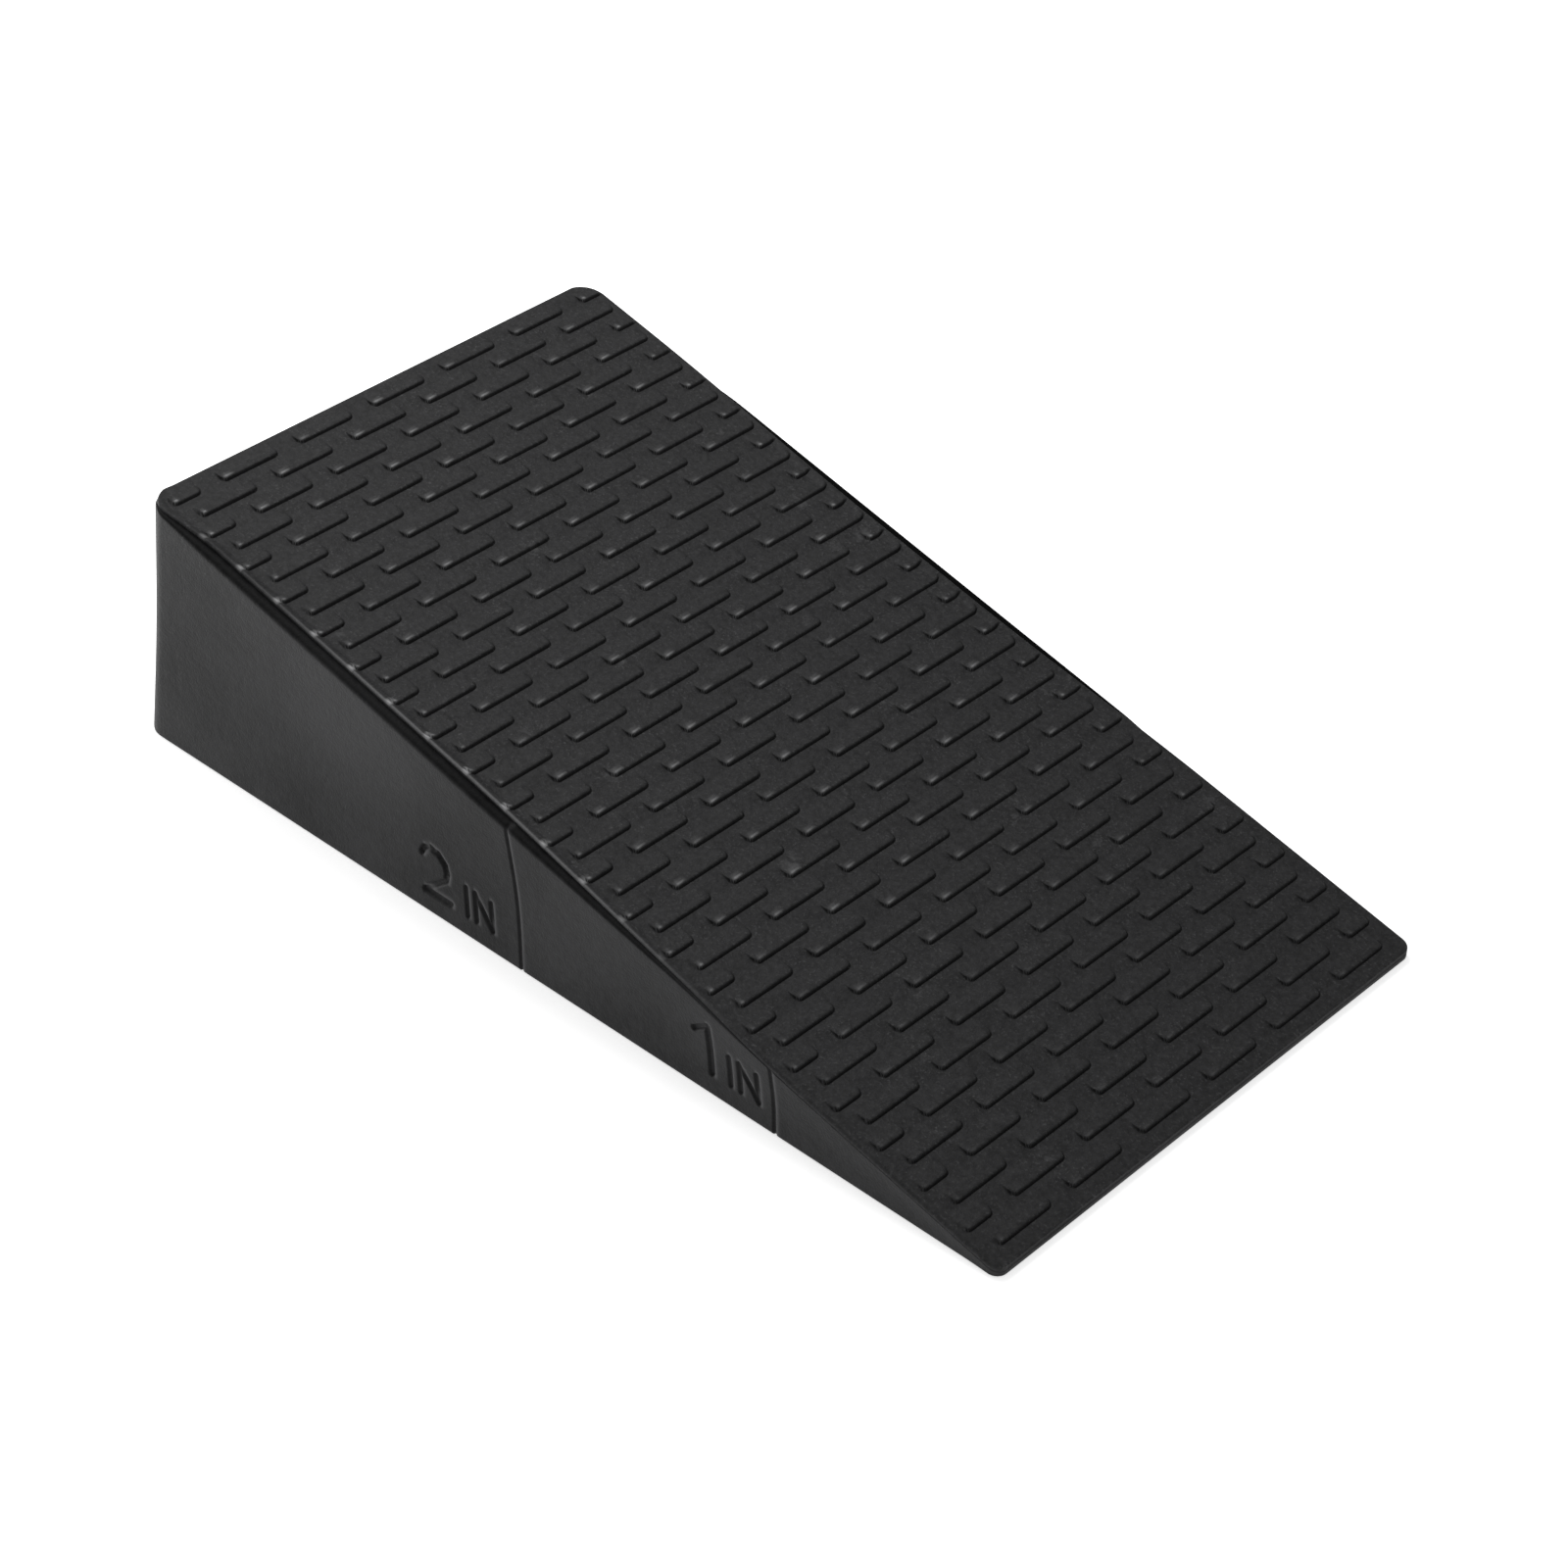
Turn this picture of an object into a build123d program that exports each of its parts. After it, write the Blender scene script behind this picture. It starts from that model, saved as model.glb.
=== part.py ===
"""Ramp leveler: a solid wedge of closed-cell foam with a thin moulded tread sheet glued to its slope.

A wheel rolls up the slope from the toe until the mark on the side says that it is lifted enough.

Frame: millimetres, +Z up, the ground is Z = 0. +X runs from the thick end to the toe, and the
origin is the middle of the base. The side with the height marks faces -Y.
"""

import os
from math import atan2, cos, hypot, radians, sin, tan

from build123d import *

os.makedirs("parts", exist_ok=True)

# ---- Driving dimensions of the wedge, mm -------------------------------------------------------
base_length = 374.0           # on the ground, from the foot of the thick end to the toe
base_width = 200.0            # on the ground, across the ramp
thick_height = 94.0           # ground to tread at the thick end
toe_height = 3.5              # ground to tread at the toe
thick_end_run = 10.5          # the foot of the thick end stands out past its top edge by this much
side_run = 1.5                # each long side leans in by this much from the ground to thick_height
thick_corner_radius = 9.0     # upright corners of the thick end
toe_corner_radius = 5.0       # corners of the toe, seen from above

# ---- Tread sheet, mm ---------------------------------------------------------------------------
sheet_thickness = 1.8
rim_inset_thick_end = 1.0     # gap from the wedge's edge to the sheet's rim, at the thick end
rim_inset_waist = 3.1         # the same gap where the rim is most drawn in
rim_waist_from_thick = 113.0  # distance down the slope to that place
lug_rows = 42
lug_columns = 6               # whole lugs in a full row; a staggered row has one less and two halves
row_pitch = 8.8               # down the slope
column_pitch = 32.3           # across the slope
lug_length = 23.6             # across the slope, over its round ends
lug_width = 4.2               # down the slope
lug_height = 1.2
toe_margin = 5.8              # from the toe to the lower edge of the last row
pattern_offset = -0.4         # the pattern's centre line at the toe, from the ramp's centre line
column_drift = 0.0125         # sideways run of the columns for each millimetre up the slope

# ---- Height marks on the near side, mm ---------------------------------------------------------
inch = 25.4
marked_inches = (1, 2)
mark_shift = (2.3, -2.1)      # how far each line's foot stands towards the toe from the place of its height
mark_lean = radians(7)        # the lines lean back towards the thick end
text_lean = radians(8.5)      # and the figures and letters a little more
mark_depth = 0.6
line_width = 1.4
stroke_width = 2.4
text_base = 8.0               # from the ground to the foot of the figures
figure_height = 16.5
unit_height = 10.0            # the letters after the figure are smaller
unit_gap = (5.1, 11.2)        # from the last letter to the line, for each mark
letter_gaps = (7.8, 4.0)      # from the figure to the I, and from the I to the N

# ---- Shape that follows from them --------------------------------------------------------------
slope = atan2(thick_height - toe_height, base_length - thick_end_run)
slope_length = hypot(thick_height - toe_height, base_length - thick_end_run)
side_lean = atan2(side_run, thick_height)
spare = 20.0                  # how far cutting shapes run past the wedge

# Local X runs down the slope and is 0 at the toe's top edge, so places up the slope are negative.
tread_plane = Plane(
    origin=(base_length / 2, 0, toe_height),
    x_dir=(cos(slope), 0, -sin(slope)),
    z_dir=(sin(slope), 0, cos(slope)),
)
glue_plane = tread_plane.offset(-sheet_thickness)


def side_plane(side):
    """The plane of a long side, facing outwards: side is -1 for the near one and 1 for the far one."""
    return Plane(
        origin=(0, side * base_width / 2, 0),
        x_dir=(-side, 0, 0),
        z_dir=(0, side * cos(side_lean), sin(side_lean)),
    )


def height_at(up_slope):
    """Height of the tread above the ground at a distance up the slope from the toe."""
    return toe_height + up_slope * sin(slope)


def edge_at(up_slope):
    """Half the wedge's width, measured at the tread, at a distance up the slope from the toe."""
    return base_width / 2 - height_at(up_slope) * tan(side_lean)


def wedge(rise):
    """The whole ramp's outer shape, with its sloping top raised by rise along the slope's normal."""
    lift = rise / cos(slope)
    reach = (toe_height + lift + base_length * tan(slope)) / (toe_height + base_length * tan(slope))
    with BuildPart() as body:
        with BuildSketch(Plane.XZ):
            with BuildLine():
                Polyline(
                    (-base_length / 2, 0),
                    (base_length / 2, 0),
                    (base_length / 2, toe_height + lift),
                    (-base_length / 2 + thick_end_run * reach, thick_height * reach),
                    close=True,
                )
            make_face()
        extrude(amount=base_width / 2, both=True)
        for side in (-1, 1):
            split(bisect_by=side_plane(side), keep=Keep.BOTTOM)
        thick_end_edges = body.faces().sort_by(Axis.X)[0].edges().sort_by(Axis.Y)
        fillet((thick_end_edges[0], thick_end_edges[-1]), radius=thick_corner_radius)
        toe_edges = body.faces().sort_by(Axis.X)[-1].edges().sort_by(Axis.Y)
        fillet((toe_edges[0], toe_edges[-1]), radius=toe_corner_radius)
    return body.part


# ---- Figures and letters, drawn with plain strokes of one width ---------------------------------
def figure_one(left, foot):
    """The figure 1: an upright with a flag."""
    top = foot + figure_height
    wide, drop = figure_height * 0.36, figure_height * 0.22
    return [[(left, top - drop), (left + wide, top), (left + wide, foot)]], wide


def figure_two(left, foot):
    """The figure 2: a bowl of straight strokes, a diagonal and a foot."""
    wide = figure_height * 0.71
    bowl = [(0, 0.8), (0.12, 0.93), (0.38, 1), (0.67, 0.96), (0.9, 0.8), (0.95, 0.62), (0.88, 0.46)]
    points = [*bowl, (0, 0), (1, 0)]
    return [[(left + wide * x, foot + figure_height * z) for x, z in points]], wide


def letter_i(left, foot):
    """A capital I: one upright."""
    return [[(left, foot), (left, foot + unit_height)]], 0.0


def letter_n(left, foot):
    """A capital N: two uprights and a diagonal."""
    wide = unit_height * 0.72
    top = foot + unit_height
    return [[(left, foot), (left, top), (left + wide, foot), (left + wide, top)]], wide


figures = {1: figure_one, 2: figure_two}


def lean_back(points):
    """The points of a stroke, leaning back towards the thick end."""
    return [(x - (z - text_base) * tan(text_lean), z) for x, z in points]


def mark_strokes(inches, gap, shift):
    """The strokes of one height mark, with the side plane's X and Z, and its line as a two-point stroke."""
    foot_x = base_length / 2 - (inches * inch - toe_height) / tan(slope) + shift
    top_z = inches * inch + spare
    line = [(foot_x + spare * tan(mark_lean), -spare), (foot_x - top_z * tan(mark_lean), top_z)]
    shapes = (figures[inches], letter_i, letter_n)
    widths = [shape(0, 0)[1] for shape in shapes]
    left = foot_x - text_base * tan(mark_lean) - gap - sum(widths) - sum(letter_gaps)
    strokes = []
    for shape, width, space in zip(shapes, widths, (*letter_gaps, 0)):
        strokes += [lean_back(points) for points in shape(left, text_base)[0]]
        left += width + space
    return line, strokes


# ---- Core block: the foam wedge, up to the glue line --------------------------------------------
with BuildPart() as core_block:
    add(wedge(0))
    split(bisect_by=glue_plane, keep=Keep.BOTTOM)
    for inches, gap, shift in zip(marked_inches, unit_gap, mark_shift):
        line, strokes = mark_strokes(inches, gap, shift)
        with BuildSketch(side_plane(-1)):
            with BuildLine():
                Polyline(line)
            trace(line_width=line_width)
        for points in strokes:
            with BuildSketch(side_plane(-1)):
                with BuildLine():
                    Polyline(points)
                trace(line_width=stroke_width)
        extrude(amount=-mark_depth, mode=Mode.SUBTRACT)
core_block.part.label = "core_block"

# ---- Tread sheet: a thin slab with its rim drawn in, milled down between the lugs ---------------
rim_end = (marked_inches[0] * inch - toe_height) / sin(slope)   # the rim meets the edge at the first mark
waist = slope_length - rim_waist_from_thick

with BuildPart() as tread_sheet:
    add(wedge(lug_height))
    split(bisect_by=glue_plane, keep=Keep.TOP)
    for side in (-1, 1):
        rim_start = (-slope_length, side * (edge_at(slope_length) - rim_inset_thick_end))
        rim_waist = (-waist, side * (edge_at(waist) - rim_inset_waist))
        rim_stop = (-rim_end, side * edge_at(rim_end))
        outside = side * (base_width / 2 + spare)
        with BuildSketch(tread_plane):
            with BuildLine():
                ThreePointArc(rim_start, rim_waist, rim_stop)
                Polyline(
                    rim_stop,
                    (-rim_end, outside),
                    (-slope_length - spare, outside),
                    (-slope_length - spare, rim_start[1]),
                    rim_start,
                )
            make_face()
        extrude(amount=spare / 2, both=True, mode=Mode.SUBTRACT)
    with BuildSketch(tread_plane):
        with Locations((-slope_length / 2, 0)):
            Rectangle(slope_length + 2 * spare, base_width + 2 * spare)
        for row in range(lug_rows):
            up_slope = toe_margin + (lug_rows - 1 - row) * row_pitch
            row_x = -up_slope - lug_width / 2
            row_y = pattern_offset + column_drift * up_slope
            whole = lug_columns if row % 2 else lug_columns - 1
            with Locations((row_x, row_y)):
                with GridLocations(column_pitch, column_pitch, 1, whole):
                    SlotOverall(lug_length, lug_width, rotation=90, mode=Mode.SUBTRACT)
            if not row % 2:
                half_y = column_pitch * lug_columns / 2 - lug_length / 4
                with Locations((row_x, row_y - half_y), (row_x, row_y + half_y)):
                    SlotOverall(lug_length / 2, lug_width, rotation=90, mode=Mode.SUBTRACT)
    extrude(amount=spare, mode=Mode.SUBTRACT)
tread_sheet.part.label = "tread_sheet"

for piece in (core_block, tread_sheet):
    export_step(piece.part, f"parts/{piece.part.label}.step")
    size = piece.part.bounding_box().size
    print(f"{piece.part.label}: {size.X:.1f} x {size.Y:.1f} x {size.Z:.1f} mm, "
          f"{len(piece.part.solids())} solid, {piece.part.volume / 1000:.1f} cm3")
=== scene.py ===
# %% [markdown]
# # A ramp leveler in black foam
#
# The object is a wedge that a caravan wheel rolls up to raise one side. It is two things: a block of
# closed-cell foam, and a thin moulded tread sheet glued to the slope. Nothing on it moves.
#
# The lesson builds both as dense meshes from short formulas, because every detail here is relief:
# studs, a lip, a shoulder, pressed figures. The two materials then add grain, scuffs and gloss, with
# painted shade and painted highlights.
# Lengths are written in millimetres and turned to metres when a mesh is made.

# %% Load the imported model
import math

import bpy
import numpy as np
from mathutils import Matrix, Vector


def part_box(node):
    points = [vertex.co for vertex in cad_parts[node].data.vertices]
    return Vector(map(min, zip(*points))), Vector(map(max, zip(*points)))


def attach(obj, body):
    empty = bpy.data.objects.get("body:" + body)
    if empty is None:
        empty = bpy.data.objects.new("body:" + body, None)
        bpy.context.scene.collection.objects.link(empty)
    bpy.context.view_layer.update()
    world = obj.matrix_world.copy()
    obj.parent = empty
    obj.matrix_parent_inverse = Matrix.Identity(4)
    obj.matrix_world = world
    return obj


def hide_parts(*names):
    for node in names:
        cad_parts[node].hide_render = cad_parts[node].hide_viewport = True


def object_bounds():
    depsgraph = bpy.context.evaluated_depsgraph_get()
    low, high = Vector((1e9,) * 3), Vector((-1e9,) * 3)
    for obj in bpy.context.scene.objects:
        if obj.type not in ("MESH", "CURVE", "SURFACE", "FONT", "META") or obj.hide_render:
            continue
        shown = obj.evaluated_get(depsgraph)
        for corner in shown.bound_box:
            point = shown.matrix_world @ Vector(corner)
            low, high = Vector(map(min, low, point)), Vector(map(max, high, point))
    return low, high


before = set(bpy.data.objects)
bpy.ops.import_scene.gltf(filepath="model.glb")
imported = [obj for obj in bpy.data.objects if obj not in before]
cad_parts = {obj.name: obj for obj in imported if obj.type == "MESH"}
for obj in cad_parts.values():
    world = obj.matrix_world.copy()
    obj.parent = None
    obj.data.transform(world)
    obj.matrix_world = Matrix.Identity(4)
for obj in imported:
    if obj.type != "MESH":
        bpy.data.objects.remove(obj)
cad_low, cad_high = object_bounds()
MM = 0.001
print("nodes:", sorted(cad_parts))

# %% [markdown]
# ## The wedge's own axes
#
# Most shapes live on the slope, so it gets its own ruler: `up` is the distance up the slope from the
# toe, `across` is the distance from the ramp's centre line, and `rise` is the distance off the tread.
# The slope itself follows from the two CAD boxes: the glue plane runs from the block's highest edge
# to the sheet's lowest one. The few sizes that the boxes can't give are written here.

# %% Sizes of the wedge
core_low, core_high = (np.array(corner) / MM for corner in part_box("core_block"))
sheet_low = np.array(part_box("tread_sheet")[0]) / MM

toe_x = core_high[0]
base_length = core_high[0] - core_low[0]
base_width = core_high[1] - core_low[1]
glue_back_x = sheet_low[0]
slope = math.atan2(core_high[2] - sheet_low[2], toe_x - glue_back_x)
sheet_thickness = 1.8
side_run = 1.5                     # each long side leans in by this much,
side_run_height = 94.0             # from the ground to this height
thick_corner = 9.0                 # radius of the upright corners at the thick end
toe_corner = 4.0                   # and at the toe
glue_toe_z = sheet_low[2]
toe_height = glue_toe_z + sheet_thickness / math.cos(slope)
slope_length = (toe_x - glue_back_x) / math.cos(slope)
side_lean = math.atan2(side_run, side_run_height)
print(f"slope {math.degrees(slope):.2f} degrees, {slope_length:.1f} mm long, toe {toe_height:.2f} mm high")


# %% From the slope's ruler to X, Y and Z
def on_slope(up, across, rise):
    """Points in millimetres for arrays of distance up the slope, across it and off its surface."""
    x = toe_x - up * math.cos(slope)
    z = toe_height + up * math.sin(slope) + rise / math.cos(slope)
    return np.stack(np.broadcast_arrays(x, across, z), axis=-1)


LEAN_SHARE = {-1: 1.0, 1: 0.5}     # the far side (1) leans in half as much as the near side (-1)


def half_width(up, side):
    """Half the block's width at the tread: the long sides lean in a little towards the top."""
    height = toe_height + up * math.sin(slope)
    return base_width / 2 - LEAN_SHARE[side] * height * math.tan(side_lean)


def smooth_step(low, high, value):
    """0 below low, 1 above high, and a smooth change between them."""
    t = np.clip((value - low) / (high - low), 0.0, 1.0)
    return t * t * (3 - 2 * t)


print("top of the slope, in mm:", np.round(on_slope(slope_length, 0.0, 0.0), 1))


# %% [markdown]
# ## The rim of the tread sheet
#
# The sheet is not quite as wide as the block. Its rim is drawn in along both long sides between the
# thick end and the first height mark, and there the block's shoulder shows as a dark ledge. The rim
# itself curls up a little, as a thin sheet does when it is clamped hot. Past the mark the two run flush.
# One smooth rise and one smooth fall give each side its own curve.

# %% Rim inset
RIM_WAIST = 3.7                    # the most that the rim is drawn in
RIM_CURL = 1.3                     # the most that it curls up
LEDGE_DROP = 0.1                   # the ledge beside it lies this far below the tread's plane
CURL_REACH = (0.5, 3.8)            # the curl fades out between these distances from the rim
# From the thick end: where each side's inset starts and is full, and where it starts to fade and ends.
RIM_CURVE = {-1: (-12.0, 35.0, 140.0, 305.0), 1: (35.0, 145.0, 190.0, 290.0)}


def rim_share(up, side):
    """How far along its curve the rim is, from 0 to 1: side is -1 for the near side, 1 for the far."""
    from_thick = slope_length - np.asarray(up, dtype=float)
    start, full, fade, end = RIM_CURVE[side]
    return smooth_step(start, full, from_thick) * (1 - smooth_step(fade, end, from_thick))


def rim_inset(up, side):
    """How far the sheet's rim stays inside the block's edge, in millimetres."""
    return RIM_WAIST * rim_share(up, side)


for place in (370, 300, 200, 100, 60):
    near_inset, far_inset = rim_inset(place, -1), rim_inset(place, 1)
    print(f"rim inset {place} mm up the slope: near {near_inset:.2f}, far {far_inset:.2f} mm")


# %% [markdown]
# ## The studs
#
# Each stud is a low bar across the slope. Seen from above it is a U: a straight lower wall, two
# rounded corners and two short ends that run out into the sheet uphill, so it has no upper edge.
# Rows are staggered by half a pitch like bricks, and a staggered row ends in a half stud.
#
# They could be some 270 separate bars, but a moulded tread is one skin. So the sheet is one grid of
# points lifted by a height formula, with the grid's lines gathered where the walls are steep. The
# formula also tells the material where to paint shade in the crease at a wall's foot, and where to
# paint a highlight.

# %% Stud sizes
ROWS = 42
STUDS = 6
ROW_PITCH = 8.8
COLUMN_PITCH = 32.3
STUD_LENGTH = 23.6
STUD_HEIGHT = 0.75
STUD_CREST = 0.9                   # the stud's top is level this far uphill of its lower wall,
STUD_RAMP = 8.4                    # and falls to the sheet by here
STUD_CORNER = 2.1
STUD_VARIES = 0.16                 # the tallest and the lowest stud differ by this share
WALL = 0.32                        # the lower wall's run, from its foot to the rounded crest
END_SPREAD = {"near": (2.4, 1.1), "far": (0.7, 1.7)}     # where the end walls start to soften, and how fast
HOOK = {"near": (2.0, 4.8), "far": (0.9, 3.2)}           # the crease along an end wall fades over this
NICK_DEPTH = 0.2                   # a sharp mould line is pressed in at the foot of the wall,
NICK_PLACE = -0.1                  # just outside it
NICK_WIDTH = 0.28
CREASE_STARTS = (-0.45, -0.1)      # the painted crease shade starts over this distance outside the wall's foot,
CREASE_ENDS = (0.0, 0.3)           # and ends over this distance inside it
NEAR_CREASE_SHIFT = 0.2            # at the near end it lies further in by this much
CORNER_PIP = 0.35                  # the near corner stands proud of the crest by this much
PIP_PLACE = (1.7, 1.05)            # from the stud's near end, and uphill of its wall
PIP_SIZE = (0.7, 0.5)
PIP_LEAST = 0.35                   # the smallest corner pip and painted highlight have this share of it
PIP_FADE = (50, 150)               # the pips and their painted highlights grow over this stretch of the slope,
TOE_PIP = 0.2                      # from this share near the toe
PIP_HIGHLIGHT = (0.1, 0.35)             # the painted highlight starts over this distance inside the wall's foot
TOE_MARGIN = 5.8                   # from the toe's edge to the first stud's wall
ROW_LEAD = 1.2                     # a row's strip starts this far downhill of its wall
PATTERN_OFFSET = -0.4
COLUMN_DRIFT = 0.0125              # the columns run off square by this much

stud_dice = np.random.default_rng(7).random((ROWS, 2 * STUDS + 3, 2))


def stud_at(up, across):
    """Which stud a point belongs to: its row, distance uphill of the wall, middle, half length and dice."""
    row = np.floor((up - TOE_MARGIN + ROW_LEAD) / ROW_PITCH)
    uphill = up - TOE_MARGIN - row * ROW_PITCH
    staggered = np.mod(row, 2) == 1
    shift = np.where(staggered, 0.0, 0.5)
    last = np.where(staggered, STUDS / 2, (STUDS - 1) / 2)
    place = np.clip(np.round(across / COLUMN_PITCH - shift) + shift, -last, last)
    is_half = np.abs(place) == STUDS / 2
    half = np.where(is_half, STUD_LENGTH / 4, STUD_LENGTH / 2)
    middle = place * COLUMN_PITCH - np.where(is_half, np.sign(place) * STUD_LENGTH / 4, 0.0)
    real = (row >= 0) & (row < ROWS)
    dice = stud_dice[np.clip(row, 0, ROWS - 1).astype(int), (2 * place + STUDS + 1).astype(int)]
    return uphill, middle, half, real, dice


def stud_relief(up, across):
    """Rise of the tread at points of the slope, with its painted crease shade and painted highlight shares.

    crease_shade is 1 in the painted shade along the foot of a wall, and painted_highlight is 1 in the
    painted highlight on a near corner. No two studs are quite alike: the dice give each its own height,
    and its own corner pip and highlight strength.
    """
    across = across - PATTERN_OFFSET - COLUMN_DRIFT * up
    uphill, middle, half, real, dice = stud_at(up, across)
    beside = np.abs(across - middle) - (half - STUD_CORNER)
    below = STUD_CORNER - uphill
    outside = np.hypot(np.maximum(beside, 0), np.maximum(below, 0))
    outside = outside + np.minimum(np.maximum(beside, below), 0)
    inside = STUD_CORNER - outside
    near_side = across < middle
    start, spread, hook_start, hook_end = (
        np.where(near_side, near, far)
        for near, far in zip(END_SPREAD["near"] + HOOK["near"], END_SPREAD["far"] + HOOK["far"]))
    wall = WALL + spread * np.clip(uphill - start, 0, None)
    shape = np.sqrt(1 - (1 - np.clip(inside / wall, 0, 1)) ** 2)
    ramp = np.clip(1 - (uphill - STUD_CREST) / (STUD_RAMP - STUD_CREST), 0, 1)
    hook = 1 - smooth_step(hook_start, hook_end, uphill)
    nick = np.exp(-((inside - NICK_PLACE) / NICK_WIDTH) ** 2) * hook
    tall = STUD_HEIGHT * (1 - STUD_VARIES / 2 + STUD_VARIES * dice[..., 0])
    from_end = across - middle + half
    off_spot = ((from_end - PIP_PLACE[0]) / PIP_SIZE[0]) ** 2 + ((uphill - PIP_PLACE[1]) / PIP_SIZE[1]) ** 2
    spot = np.exp(-off_spot) * (PIP_LEAST + (1 - PIP_LEAST) * dice[..., 1])
    spot = spot * (TOE_PIP + (1 - TOE_PIP) * smooth_step(*PIP_FADE, up))
    rise = np.where(real, tall * shape * ramp - NICK_DEPTH * nick + CORNER_PIP * spot * shape, 0.0)
    dark = inside - NEAR_CREASE_SHIFT * near_side * smooth_step(-0.6, 0.4, beside - below)
    # painted shade: the colour is darkened along the foot of each stud's wall
    crease_shade = smooth_step(*CREASE_STARTS, dark) * (1 - smooth_step(*CREASE_ENDS, dark)) * hook
    crease_shade = np.where(real, crease_shade, 0.0)
    # painted highlight: a paler, smoother patch on each near corner
    painted_highlight = np.where(real, spot * smooth_step(*PIP_HIGHLIGHT, inside), 0.0)
    return rise, crease_shade, painted_highlight


# %% [markdown]
# The grid's lines follow the studs. Across the slope they gather at every stud end, and up the slope
# at every lower wall. Between the rim and the last regular line they are spread evenly, with a few
# close to the rim for its rounded lip.

# %% Grid lines of the tread
EDGE_STEPS = [0.0, 0.06, 0.2, 0.42, 0.7, 1.05, 1.5, 2.1]            # in from the sheet's edge
END_STEPS = [-0.65, -0.25, 0.0, 0.2, 0.5, 1.0, 1.9]                 # in from a stud's end
ROW_STEPS = [-0.85, -0.4, -0.1, 0.12, 0.4, 0.8, 1.7, 3.2, 5.2]      # uphill of a stud's lower wall
CORNER_STEPS = [2.9, 3.9, 5.2, 6.8]                                 # in from the thick end, for its corners
LEAST_GAP = 0.12                   # a regular line closer than this to the one before is dropped
REGULAR_REACH = 86.5               # the regular lines go this far from the pattern's centre
SQUEEZE_FROM = 60.0                # beyond this they are squeezed where the far corner leaves no room
FILL_LINES = 18                    # even lines between them and the rim, on each side


def row_lines():
    """Distances up the slope of the grid's cross lines, from the toe's edge to the thick end's edge."""
    lines = [foot + step for foot in TOE_MARGIN + ROW_PITCH * np.arange(ROWS) for step in ROW_STEPS]
    lines = [line for line in lines if EDGE_STEPS[-1] < line < slope_length - CORNER_STEPS[0]]
    lines += EDGE_STEPS + CORNER_STEPS[:2]
    lines += [slope_length - step for step in EDGE_STEPS + CORNER_STEPS]
    return np.array(sorted(lines))


def column_lines():
    """Distances from the pattern's centre of the lines that run up the slope, without those by the rim."""
    middles = np.arange(-2 * STUDS, 2 * STUDS + 1) * COLUMN_PITCH / 2
    lines = [middles]
    for side in (-1, 1):
        for step in END_STEPS:
            lines.append(middles + side * (STUD_LENGTH / 2 - step))
    lines = np.unique(np.round(np.concatenate(lines), 3))
    lines = lines[np.abs(lines) < REGULAR_REACH]
    return lines[np.concatenate(([True], np.diff(lines) > LEAST_GAP))]


rows_up = row_lines()
columns = column_lines()
print(f"tread grid: {len(rows_up)} lines up the slope, {len(columns)} regular lines across")

# %% [markdown]
# The lip is the tread's rounded edge. It is tight nearly all round, and soft only on the near side
# where the sheet runs flush. Along the near rim a painted highlight runs, strongest beside the middle,
# and a painted highlight spot, raised a little, sits wherever a half stud meets the rim. At the far
# thick corner the rounded outline leaves too little room for the regular lines, so the outer ones are
# squeezed together there.


# %% Shape of the tread's edge
LIP_RADIUS = 0.35
NEAR_LIP = 0.3                     # added all along the near side,
FLUSH_LIP = 0.7                    # and this where the sheet runs flush
FLUSH_FADE = (80, 150)
RIM_HIGHLIGHT_SPAN = (15, 120, 190, 285)   # from the thick end: where the painted rim highlight starts, is full, fades and ends


def corner_cut(up):
    """How much narrower than half_width the outline is near the ends, where its corners are round."""
    cut = np.zeros_like(up)
    for radius, from_end in ((toe_corner, up), (thick_corner, slope_length - up)):
        inside = np.clip(radius - from_end, 0, radius)
        cut += radius - np.sqrt(radius ** 2 - inside ** 2)
    return cut


def lip_radius(up, is_near):
    """Radius of the tread's edge: tight, but soft on the near side past the first height mark."""
    return LIP_RADIUS + is_near * (NEAR_LIP + FLUSH_LIP * (1 - smooth_step(*FLUSH_FADE, up)))


def rim_highlight(up):
    """How strong the near rim's painted highlight is, from 0 to 1, along the slope."""
    from_thick = slope_length - up
    return smooth_step(*RIM_HIGHLIGHT_SPAN[:2], from_thick) * (1 - smooth_step(*RIM_HIGHLIGHT_SPAN[2:], from_thick))


print(f"lip radius {lip_radius(40, True):.2f} mm near the toe, {lip_radius(250, True):.2f} mm higher up")


# %% Points of the tread's top
RIM_HIGHLIGHT = 0.33                    # the painted highlight line along the rim,
HIGHLIGHT_PLACE = 0.35                # this far in from it
HIGHLIGHT_WIDTH = 0.5
RIM_SPOT_PLACE = (1.1, 1.1)        # from the near rim, and uphill of a half stud's wall
RIM_SPOT_SIZE = (1.0, 1.1)
RIM_SPOT_RISE = 0.35
SPOTS_START = (5, 45)              # from the thick end: the spots set in over this stretch
SPOTS_END = (120, 200)             # from the toe: and they end over this one
ROOM_AT_RIM = 0.8                  # kept between the regular lines and those of the far rim
STUDS_FADE = (0.2, 1.3)            # the studs sink into the sheet between these distances from its edge,
FAR_STUDS_FADE = (0.4, 2.4)        # and more slowly at the far rim


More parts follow.
